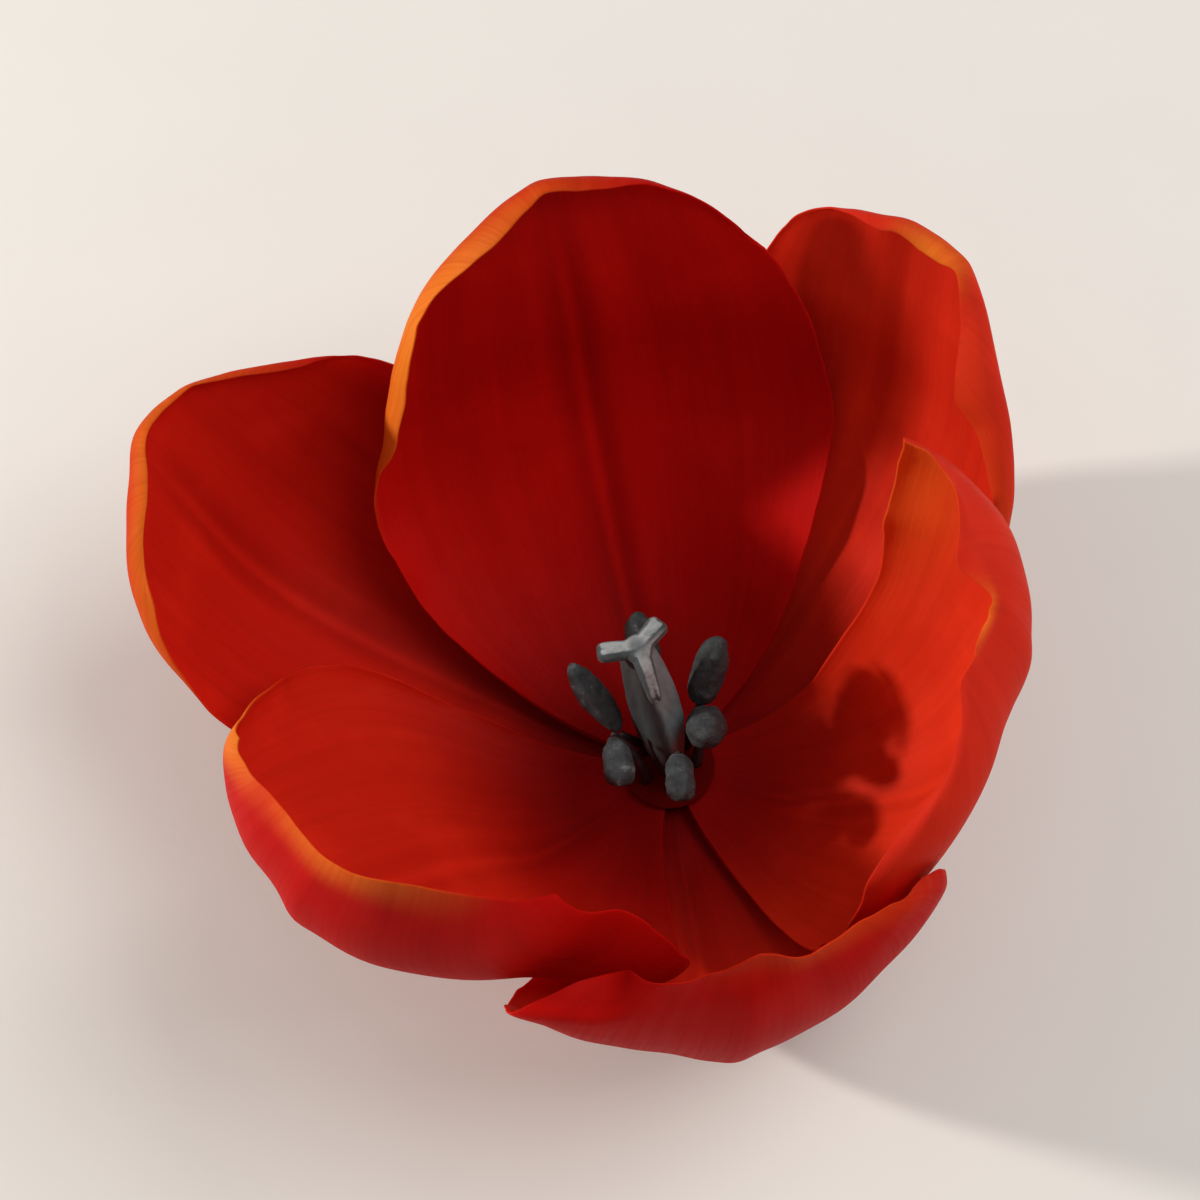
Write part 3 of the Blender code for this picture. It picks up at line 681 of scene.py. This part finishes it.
def petal_back(petal, across, along, sizes):
    """Points of a petal's outer face, with the thickness and the marks that belong to them."""
    sideways, arc, rim = petal_outline(petal, across, along, sizes.margin_step)
    middle_radius = cup_meridian(np.full_like(arc, petal.facing), arc)[0]
    blade_height = petal.length - petal.widest
    direction = np.degrees(np.arctan2(arc - petal.widest, sideways))
    midline = np.exp(-(sideways / MIDRIB_HALF_WIDTH) ** 2)

    # thickness: stout claw, midrib, thin rim
    blade = sizes.blade_thickness
    thickness = CLAW_THICKNESS + (blade - CLAW_THICKNESS) * smooth_step(arc / CLAW_LENGTH)
    fading = smooth_step((1.0 - rim) / MIDRIB_FADE)
    thickness = thickness + sizes.midrib_height * midline * fading
    grown = smooth_step(arc / RIPPLE_FULL_ARC)
    thin = smooth_step((rim - THIN_RIM_START) / (1.0 - THIN_RIM_START)) * grown
    thickness = thickness + (sizes.rim_thickness - blade) * thin

    # how far the face lies from the cup, on its own whorl's side of it
    keel = KEEL_HEIGHT * np.exp(-(sideways / KEEL_HALF_WIDTH) ** 2) * fading
    lift = np.where(across < 0.0, petal.lift_cw, petal.lift_ccw) * across ** 2
    lift = lift * np.sin(np.clip(arc / LIFT_FULL_ARC, 0.0, 1.0) * math.pi / 2) ** 2
    lift = lift + petal.lift_tip * np.clip((arc - petal.widest) / blade_height, 0.0, 1.0) ** 2
    waves = RIPPLE_MEAN + sum_of_waves(RIPPLES, np.radians(direction), petal.phase + math.pi / 2)
    ripple = petal.ripple * waves * rim ** 6 * grown
    pleats = 1.0 + sum_of_waves(PLEAT_WAVES, across * math.pi, petal.phase)
    pleats = sizes.pleat_depth * pleats * smooth_step((arc - PLEAT_START) / PLEAT_FULL)
    pleats = pleats * (1.0 - PLEAT_LOSS_AT_RIM * rim ** 4)
    away = WHORL_GAP / 2 + lift + ripple + pleats
    if petal.inner:
        inward = away + KEEL_HEIGHT - keel
    else:
        inward = -(away + thickness + keel)

    # roll the rim
    mean_half = (petal.half_cw + petal.half_ccw + blade_height) / 3
    reach = stretch_amount(petal.curls, direction)
    rolled = np.clip(reach - (1.0 - rim) * mean_half, 0.0, None)
    shorter = CURL_RADIUS * np.sin(rolled / CURL_RADIUS) - rolled
    outward = np.hypot(sideways, arc - petal.widest) + NOT_ZERO
    sideways, arc = (sideways + shorter * sideways / outward,
                     arc + shorter * (arc - petal.widest) / outward)
    inward = inward + CURL_RADIUS * (1.0 - np.cos(rolled / CURL_RADIUS))

    # wrap it round the flower, within the share of the ring that its whorl leaves it
    angle = np.degrees(sideways / middle_radius)
    room_cw, room_ccw = room_beside(petal)
    room = np.where(across < 0.0, room_cw, room_ccw)
    angle = angle / (1.0 + np.abs(angle / room) ** SHARE_SOFTNESS) ** (1.0 / SHARE_SOFTNESS)
    azimuth = petal.facing + petal.lean * (arc / petal.length) ** 2 + angle
    points = cup_point(azimuth, arc, inward)
    points[..., 2] = np.maximum(points[..., 2], 0.0)

    # marks for the colouring: place on the blade, the margin's orange outside, partly painted
    # sunlight, and painted sunlight inside
    beyond = (1.0 - rim) * mean_half
    flush_with_sun = stretch_amount(petal.flushes_with_sun, direction)
    flush_with_sun = flush_with_sun * smooth_step(1.0 - beyond / FLUSH_WITH_SUN_DEPTH) * grown
    orange_with_sun = stretch_amount(petal.sun_patches, direction)
    orange_with_sun = orange_with_sun * smooth_step(1.0 - beyond / SUN_PATCH_DEPTH) * grown
    orange_with_sun = np.maximum(orange_with_sun, flush_with_sun * EDGE_GLOW * smooth_step((rim - EDGE_START) / (1.0 - EDGE_START)))
    marks = np.stack([across, arc / petal.length, rim], axis=-1)
    return points + np.array(FLOWER_AXIS), thickness, marks, flush_with_sun, orange_with_sun


def deselect():
    """Nothing selected, in object mode."""
    if bpy.context.mode != "OBJECT":
        bpy.ops.object.mode_set(mode="OBJECT")
    bpy.ops.object.select_all(action="DESELECT")


def apply_modifiers(piece):
    """Apply every modifier of the active piece, in order."""
    bpy.context.view_layer.objects.active = piece
    for modifier in list(piece.modifiers):
        bpy.ops.object.modifier_apply(modifier=modifier.name)


def smooth_levels(piece, levels):
    """Give a piece a subdivision surface."""
    subsurf = piece.modifiers.new("smooth", "SUBSURF")
    subsurf.levels = levels
    subsurf.render_levels = levels


def settle(piece, node, material):
    """Shade a finished piece, give it its material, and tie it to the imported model."""
    piece.data.materials.clear()
    piece.data.materials.append(material)
    piece.data.shade_smooth()
    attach(piece, "root")
    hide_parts(node)


def spread_of(count, close_at_both_ends):
    """Steps from 0 to 1 that are closer together at the end, or at both ends."""
    t = np.linspace(0.0, 1.0, count + 1)
    if close_at_both_ends:
        return t - CROWDING_ACROSS / (2 * math.pi) * np.sin(2 * math.pi * t)
    return t + CROWDING_ALONG / math.pi * np.sin(math.pi * t)


def write_vector_attribute(mesh, name, values):
    """Store one vector for each vertex."""
    attribute = mesh.attributes.new(name, "FLOAT_VECTOR", "POINT")
    attribute.data.foreach_set("vector", np.asarray(values, dtype=np.float32).ravel())


def model_petal(petal, sizes):
    """Model one petal: a grid shaped into the blade, thickened inwards and rounded."""
    deselect()
    columns = sizes.columns
    rows = sizes.rows
    lower = round(rows * ROWS_BELOW)
    bpy.ops.mesh.primitive_grid_add(x_subdivisions=columns, y_subdivisions=rows, size=2.0)
    piece = bpy.context.active_object
    mesh = piece.data
    piece.name = mesh.name = f"{petal.name}_petal"
    count = len(mesh.vertices)
    places = np.empty(count * 3, dtype=np.float32)
    mesh.vertices.foreach_get("co", places)
    places = places.reshape(-1, 3).astype(float)
    column_of = np.rint((places[:, 0] + 1.0) / 2 * columns).astype(int)
    row_of = np.rint((places[:, 1] + 1.0) / 2 * rows).astype(int)
    half = spread_of(columns // 2, True)
    across_steps = np.concatenate([-half[:0:-1], half])
    below = np.linspace(-1.0, 0.0, lower + 1)
    along_steps = np.concatenate([below[:-1], spread_of(rows - lower, False)])
    across = across_steps[column_of]
    along = along_steps[row_of]
    points, thickness, marks, flush_with_sun, orange_with_sun = petal_back(petal, across, along, sizes)
    mesh.vertices.foreach_set("co", points.astype(np.float32).ravel())
    write_vector_attribute(mesh, "blade", marks)
    sun_share = np.full_like(flush_with_sun, petal.sun_share)
    write_vector_attribute(mesh, "face", np.stack([flush_with_sun * 0.0, flush_with_sun, sun_share], axis=-1))

    greatest = float(thickness.max())
    group = piece.vertex_groups.new(name="thickness")
    for index, value in enumerate(thickness):
        group.add([index], float(value) / greatest, "REPLACE")
    solidify = piece.modifiers.new("thickness", "SOLIDIFY")
    solidify.thickness = greatest
    solidify.offset = -1.0
    solidify.vertex_group = group.name
    solidify.use_even_offset = False
    solidify.use_quality_normals = True
    apply_modifiers(piece)

    # the second sheet of points is the inner face, which takes the painted sunlight and the orange hem
    inside = mesh.attributes["face"].data
    for index, value in enumerate(orange_with_sun, start=count):
        inside[index].vector.x = 1.0
        inside[index].vector.y = value
    smooth_levels(piece, 1)
    apply_modifiers(piece)
    piece.vertex_groups.clear()
    return piece


def select_where(piece, test):
    """Select, in edit mode, the vertices whose place passes a test."""
    bpy.ops.object.mode_set(mode="OBJECT")
    for vertex in piece.data.vertices:
        vertex.select = test(vertex.co)
    for element in (*piece.data.edges, *piece.data.polygons):
        element.select = False
    bpy.ops.object.mode_set(mode="EDIT")


def extrude_rings(rings):
    """Extrude the selected face through rings, each given by its centre and its size."""
    centre, size = rings[0]
    for next_centre, next_size in rings[1:]:
        bpy.ops.mesh.extrude_region_move(
            TRANSFORM_OT_translate={"value": Vector(next_centre) - Vector(centre)})
        ratio = next_size / size
        bpy.ops.transform.resize(value=(ratio, ratio, ratio), center_override=next_centre)
        centre, size = next_centre, next_size


def open_edit():
    """Enter edit mode with everything selected."""
    bpy.ops.object.mode_set(mode="EDIT")
    bpy.ops.mesh.select_all(action="SELECT")


def close_edit():
    """Merge doubles, turn the faces outwards and leave edit mode."""
    bpy.ops.mesh.select_all(action="SELECT")
    bpy.ops.mesh.remove_doubles(threshold=SAME_PLACE)
    bpy.ops.mesh.normals_make_consistent(inside=False)
    bpy.ops.object.mode_set(mode="OBJECT")


def place_in_mesh(piece, matrix):
    """Put a piece where it belongs and leave its object at the origin."""
    piece.matrix_world = matrix
    deselect()
    piece.select_set(True)
    bpy.context.view_layer.objects.active = piece
    bpy.ops.object.transform_apply()


def roughen(piece, name, scale, height):
    """Displace a piece's skin by a fine cloud."""
    cloud = bpy.data.textures.new(name, "CLOUDS")
    cloud.noise_scale = scale
    cloud.noise_depth = 1
    displace = piece.modifiers.new(name, "DISPLACE")
    displace.texture = cloud
    displace.texture_coords = "LOCAL"
    displace.strength = height
    displace.mid_level = 0.5


def model_seat():
    """Model the receptacle: a disc extruded up through the rings of its profile."""
    deselect()
    radius, height = SEAT_PROFILE[0]
    bpy.ops.mesh.primitive_circle_add(vertices=40, radius=radius, fill_type="NGON",
                                      location=FLOWER_AXIS + Vector((0.0, 0.0, height)))
    piece = bpy.context.active_object
    piece.name = "flower_seat"
    bpy.ops.object.transform_apply()
    open_edit()
    extrude_rings([(FLOWER_AXIS + Vector((0.0, 0.0, up)), wide) for wide, up in SEAT_PROFILE])
    bpy.ops.mesh.inset(thickness=SEAT_TOP_INSET, depth=0.0)
    close_edit()
    select_where(piece, lambda co: co.z < SEAT_PROFILE[0][1] + SAME_PLACE)
    bpy.ops.mesh.select_mode(type="FACE")
    bpy.ops.mesh.inset(thickness=SEAT_CUT_INSET, depth=0.0)
    bpy.ops.mesh.select_mode(type="VERT")
    bpy.ops.object.mode_set(mode="OBJECT")
    smooth_levels(piece, 2)
    roughen(piece, "seat_unevenness", scale=0.0009, height=0.00012)
    apply_modifiers(piece)
    return piece


def model_ovary():
    """Model the pistil's column: a rounded triangle extruded up its leaning profile."""
    deselect()
    foot = FLOWER_AXIS + Vector((0.0, 0.0, OVARY_FOOT))
    bpy.ops.mesh.primitive_circle_add(vertices=24, radius=OVARY_RADIUS * OVARY_PROFILE[0][1],
                                      fill_type="NGON")
    piece = bpy.context.active_object
    piece.name = "pistil_column"
    for vertex in piece.data.vertices:
        turn = math.atan2(vertex.co.y, vertex.co.x) - math.radians(OVARY_FIRST_ANGLE)
        vertex.co *= 1.0 + OVARY_ANGLES * math.cos(3.0 * turn)
    place_in_mesh(piece, Matrix.Translation(foot))
    open_edit()
    rise = OVARY_TOP.z - OVARY_FOOT
    rings = []
    for share, wide in OVARY_PROFILE:
        lean = share ** OVARY_LEAN
        centre = foot + Vector((OVARY_TOP.x * lean, OVARY_TOP.y * lean, rise * share))
        rings.append((centre, OVARY_RADIUS * wide))
    extrude_rings(rings)
    close_edit()
    smooth_levels(piece, 2)
    roughen(piece, "ovary_unevenness", scale=0.0014, height=0.00018)
    apply_modifiers(piece)
    return piece


def tube_along(curve, roundness):
    """Turn the active curve into a closed tube, as thick as its points say."""
    curve.bevel_depth = 1.0
    curve.bevel_resolution = roundness
    curve.use_fill_caps = True
    bpy.ops.object.convert(target="MESH")
    return bpy.context.active_object


def crest_curve(points, radii):
    """A rounded crest along a few points."""
    bpy.ops.curve.primitive_nurbs_path_add()
    curve = bpy.context.active_object.data
    curve.splines.clear()
    spline = curve.splines.new("NURBS")
    spline.points.add(len(points) - 1)
    for point, place, radius in zip(spline.points, points, radii):
        point.co = (*place, 1.0)
        point.radius = radius
    spline.order_u = 3
    spline.use_endpoint_u = True
    spline.resolution_u = 6
    return tube_along(curve, 3)


def model_stigma():
    """Model the stigma: three limbs with a notch at the end, grown together over a hub."""
    deselect()
    hub = FLOWER_AXIS + STIGMA_HUB
    bpy.ops.mesh.primitive_uv_sphere_add(segments=24, ring_count=16,
                                         radius=STIGMA_HUB_RADIUS, location=hub)
    parts = [bpy.context.active_object]
    parts[0].scale.z = STIGMA_HUB_FLATNESS
    for facing, reach, rise, near, far in STIGMA_LOBES:
        turn = math.radians(facing)
        out = Vector((math.cos(turn), math.sin(turn), 0.0))
        across = Vector((-math.sin(turn), math.cos(turn), 0.0))
        for side in (-1.0, 1.0):
            points = []
            radii = []
            for share, factor in STIGMA_ROUNDING:
                thick = near + (far - near) * share
                bend = max(0.0, share - STIGMA_BEND_START) / (1.0 - STIGMA_BEND_START)
                points.append(hub + out * (reach - far) * share + Vector((0.0, 0.0, rise * bend))
                              + across * (side * STIGMA_NOTCH * (0.5 + 0.5 * share)))
                radii.append(thick * factor)
            deselect()
            parts.append(crest_curve(points, radii))
    deselect()
    for part in parts:
        part.select_set(True)
    piece = parts[0]
    bpy.context.view_layer.objects.active = piece
    bpy.ops.object.join()
    piece.name = "stigma_crests"
    bpy.ops.object.transform_apply()
    grown = piece.modifiers.new("grown together", "REMESH")
    grown.mode = "VOXEL"
    grown.voxel_size = STIGMA_GRAIN
    soften = piece.modifiers.new("soften", "SMOOTH")
    soften.factor = 0.5
    soften.iterations = 10
    roughen(piece, "stigma_down", scale=0.0007, height=0.00006)
    apply_modifiers(piece)
    return piece


def model_anther(number, stamen):
    """Model one anther: a pouch drawn out, furrowed on four sides and set on its filament."""
    deselect()
    base = FLOWER_AXIS + Vector(stamen.base)
    tip = FLOWER_AXIS + Vector(stamen.tip)
    axis = tip - base
    half_length = axis.length / 2
    wide, deep = stamen.half_width, stamen.half_depth
    bpy.ops.mesh.primitive_uv_sphere_add(segments=32, ring_count=20, radius=wide)
    piece = bpy.context.active_object
    piece.name = f"anther_pouch_{number}"
    open_edit()
    centre = (0.0, 0.0, 0.0)
    bpy.ops.transform.resize(value=(1.0, deep / wide, half_length / wide), center_override=centre)
    soft = {"use_proportional_edit": True, "proportional_edit_falloff": "SMOOTH"}
    furrow = stamen.furrow
    select_where(piece, lambda co: abs(co.x) < wide * FURROW_LINE)
    bpy.ops.transform.resize(value=(1.0, furrow, 1.0), center_override=centre,
                             proportional_size=wide * DEEP_FURROW_REACH, **soft)
    select_where(piece, lambda co: abs(co.y) < deep * FURROW_LINE)
    bpy.ops.transform.resize(value=((1.0 + furrow) / 2, 1.0, 1.0), center_override=centre,
                             proportional_size=wide * SIDE_FURROW_REACH, **soft)
    for end, share in ((1.0, stamen.tip_share), (-1.0, stamen.base_share)):
        select_where(piece, lambda co: co.z * end > half_length * POUCH_END)
        bpy.ops.transform.resize(value=(share, share, 1.0), center_override=centre,
                                 proportional_size=half_length * POUCH_END_REACH, **soft)
    bpy.ops.object.mode_set(mode="OBJECT")
    smooth_levels(piece, 1)
    roughen(piece, f"pouch_{number}", scale=0.0016, height=0.0005)
    roughen(piece, f"grains_{number}", scale=0.00035, height=0.00012)

    side = axis.normalized().cross(Vector((0.0, 0.0, 1.0))).normalized()
    back = axis.normalized().cross(side)
    turned = Matrix((side, back, axis.normalized())).transposed().to_4x4()
    apply_modifiers(piece)
    place_in_mesh(piece, Matrix.Translation((base + tip) / 2) @ turned)
    return piece


def model_filament(number, stamen):
    """Model one filament: a tapered stalk from the seat to its anther."""
    deselect()
    turn = math.radians(stamen.foot_azimuth)
    foot = Vector((FILAMENT_FOOT * math.cos(turn), FILAMENT_FOOT * math.sin(turn), OVARY_FOOT))
    axis = (Vector(stamen.tip) - Vector(stamen.base)).normalized()
    head = Vector(stamen.base) - axis * ANTHER_GAP
    rising = foot + Vector((0.0, 0.0, (head.z - foot.z) * FILAMENT_RISE))
    arriving = head - axis * FILAMENT_ARRIVAL
    bpy.ops.curve.primitive_bezier_curve_add()
    curve = bpy.context.active_object.data
    ends = curve.splines[0].bezier_points
    for end, place, before, after, thick in (
            (ends[0], foot, foot * 2 - rising, rising, FILAMENT_FOOT_RADIUS),
            (ends[1], head, arriving, head * 2 - arriving, FILAMENT_HEAD_RADIUS)):
        end.handle_left_type = end.handle_right_type = "FREE"
        end.co = place + FLOWER_AXIS
        end.handle_left = before + FLOWER_AXIS
        end.handle_right = after + FLOWER_AXIS
        end.radius = thick
    curve.resolution_u = 24
    piece = tube_along(curve, 5)
    piece.name = f"stamen_stalk_{number}"
    bpy.ops.object.transform_apply()
    open_edit()
    close_edit()
    roughen(piece, f"stalk_{number}", scale=0.0006, height=0.00008)
    apply_modifiers(piece)
    return piece


class MESH_OT_tulip_petals(bpy.types.Operator):
    """Model the six petals, three inner and three outer"""

    bl_idname = "mesh.tulip_petals"
    bl_label = "Petals"

    def execute(self, context):
        sizes = context.scene.tulip_sizes
        material = petal_material(context.scene.tulip_colours, sizes)
        for petal in PETALS:
            settle(model_petal(petal, sizes), f"{petal.name}_tepal", material)
        return {"FINISHED"}


class MESH_OT_tulip_seat(bpy.types.Operator):
    """Model the seat that the petals and stamens grow from, with the stalk's cut end"""

    bl_idname = "mesh.tulip_seat"
    bl_label = "Seat"

    def execute(self, context):
        settle(model_seat(), "stalk_end", seat_material(context.scene.tulip_colours))
        return {"FINISHED"}


class MESH_OT_tulip_pistil(bpy.types.Operator):
    """Model the pistil: the three-sided column and the crests on top of it"""

    bl_idname = "mesh.tulip_pistil"
    bl_label = "Pistil"

    def execute(self, context):
        colours = context.scene.tulip_colours
        column = fleshy_material("pistil_flesh", colours.ovary, spread=0.13, streak=900.0,
                                 roughness=0.6, relief=0.00012, shade_side=OVARY_SHADE_SIDE)
        settle(model_ovary(), "ovary", column)
        settle(model_stigma(), "stigma", stigma_material(colours))
        return {"FINISHED"}


class MESH_OT_tulip_stamens(bpy.types.Operator):
    """Model the six stamens, each a stalk with a pouch of pollen"""

    bl_idname = "mesh.tulip_stamens"
    bl_label = "Stamens"

    def execute(self, context):
        colours = context.scene.tulip_colours
        sizes = context.scene.tulip_sizes
        stalk = fleshy_material("stamen_stalk", colours.filament, spread=0.35, streak=1600.0,
                                roughness=0.55, relief=0.00008)
        pollen = anther_material(colours, sizes)
        for number, stamen in enumerate(STAMENS, start=1):
            filament = model_filament(number, stamen)
            settle(filament, f"filament_{number}", stalk)
            pouch = model_anther(number, stamen)
            settle(pouch, f"anther_{number}", pollen)
        return {"FINISHED"}


class SCENE_OT_tulip_stage(bpy.types.Operator):
    """Lay the pale table, hang the soft lights and set the camera"""

    bl_idname = "scene.tulip_stage"
    bl_label = "Table, lights and camera"

    def execute(self, context):
        scene = context.scene
        colours = scene.tulip_colours
        deselect()
        bpy.ops.mesh.primitive_plane_add(size=TABLE_SIZE)
        table = context.active_object
        table.name = "table"
        table.data.materials.append(table_material(colours))

        aim = FLOWER_AXIS + Vector(CAMERA_AIM)
        for name, *settings in LAMPS:
            add_lamp(name, aim, *settings)
        world = bpy.data.worlds.new("studio")
        world.use_nodes = True
        background = world.node_tree.nodes["Background"]
        background.inputs["Color"].default_value = SKY_TINT
        background.inputs["Strength"].default_value = SKY_STRENGTH
        scene.world = world
        scene.view_settings.view_transform = "Standard"

        elevation = math.radians(CAMERA_ELEVATION)
        away = Vector((0.0, -math.cos(elevation), math.sin(elevation)))
        camera = bpy.data.objects.new("camera", bpy.data.cameras.new("camera"))
        camera.location = aim + away * CAMERA_DISTANCE
        camera.rotation_euler = (math.pi / 2 - elevation, 0.0, 0.0)
        camera.data.sensor_width = 36.0
        camera.data.lens = CAMERA_LENS
        camera.data.clip_start = 0.01
        scene.collection.objects.link(camera)
        scene.camera = camera
        return {"FINISHED"}


def add_lamp(name, aim, azimuth, elevation, distance, size, watts, tint):
    """Hang a soft square lamp at a direction and a distance from a point, facing it."""
    turn = math.radians(azimuth)
    rise = math.radians(elevation)
    away = Vector((math.cos(turn) * math.cos(rise), math.sin(turn) * math.cos(rise),
                   math.sin(rise)))
    data = bpy.data.lights.new(name, "AREA")
    data.shape = "SQUARE"
    data.size = size
    data.energy = watts
    data.color = tint
    lamp = bpy.data.objects.new(name, data)
    lamp.location = aim + away * distance
    lamp.rotation_euler = away.to_track_quat("Z", "Y").to_euler()
    bpy.context.scene.collection.objects.link(lamp)


class VIEW3D_PT_tulip(bpy.types.Panel):
    """Sidebar panel of the tulip"""

    bl_label = "Tulip"
    bl_space_type = "VIEW_3D"
    bl_region_type = "UI"
    bl_category = "Tulip"

    def draw(self, context):
        layout = self.layout
        for group in (context.scene.tulip_sizes, context.scene.tulip_colours):
            box = layout.box()
            for name in group.__annotations__:
                box.prop(group, name)
        for operator in OPERATORS:
            layout.operator(operator.bl_idname)


OPERATORS = (
    MESH_OT_tulip_petals,
    MESH_OT_tulip_seat,
    MESH_OT_tulip_pistil,
    MESH_OT_tulip_stamens,
    SCENE_OT_tulip_stage,
)
CLASSES = (TulipSizes, TulipColours, *OPERATORS, VIEW3D_PT_tulip)


def register():
    """Register the classes and hang the settings on the scene."""
    for cls in CLASSES:
        bpy.utils.register_class(cls)
    bpy.types.Scene.tulip_sizes = PointerProperty(type=TulipSizes)
    bpy.types.Scene.tulip_colours = PointerProperty(type=TulipColours)


def unregister():
    """Take the settings and the classes away again."""
    del bpy.types.Scene.tulip_colours
    del bpy.types.Scene.tulip_sizes
    for cls in reversed(CLASSES):
        bpy.utils.unregister_class(cls)


def main():
    """Build the bloom and its stage."""
    register()
    bpy.ops.mesh.tulip_petals()
    bpy.ops.mesh.tulip_seat()
    bpy.ops.mesh.tulip_pistil()
    bpy.ops.mesh.tulip_stamens()
    bpy.ops.scene.tulip_stage()


if __name__ == "__main__":
    main()
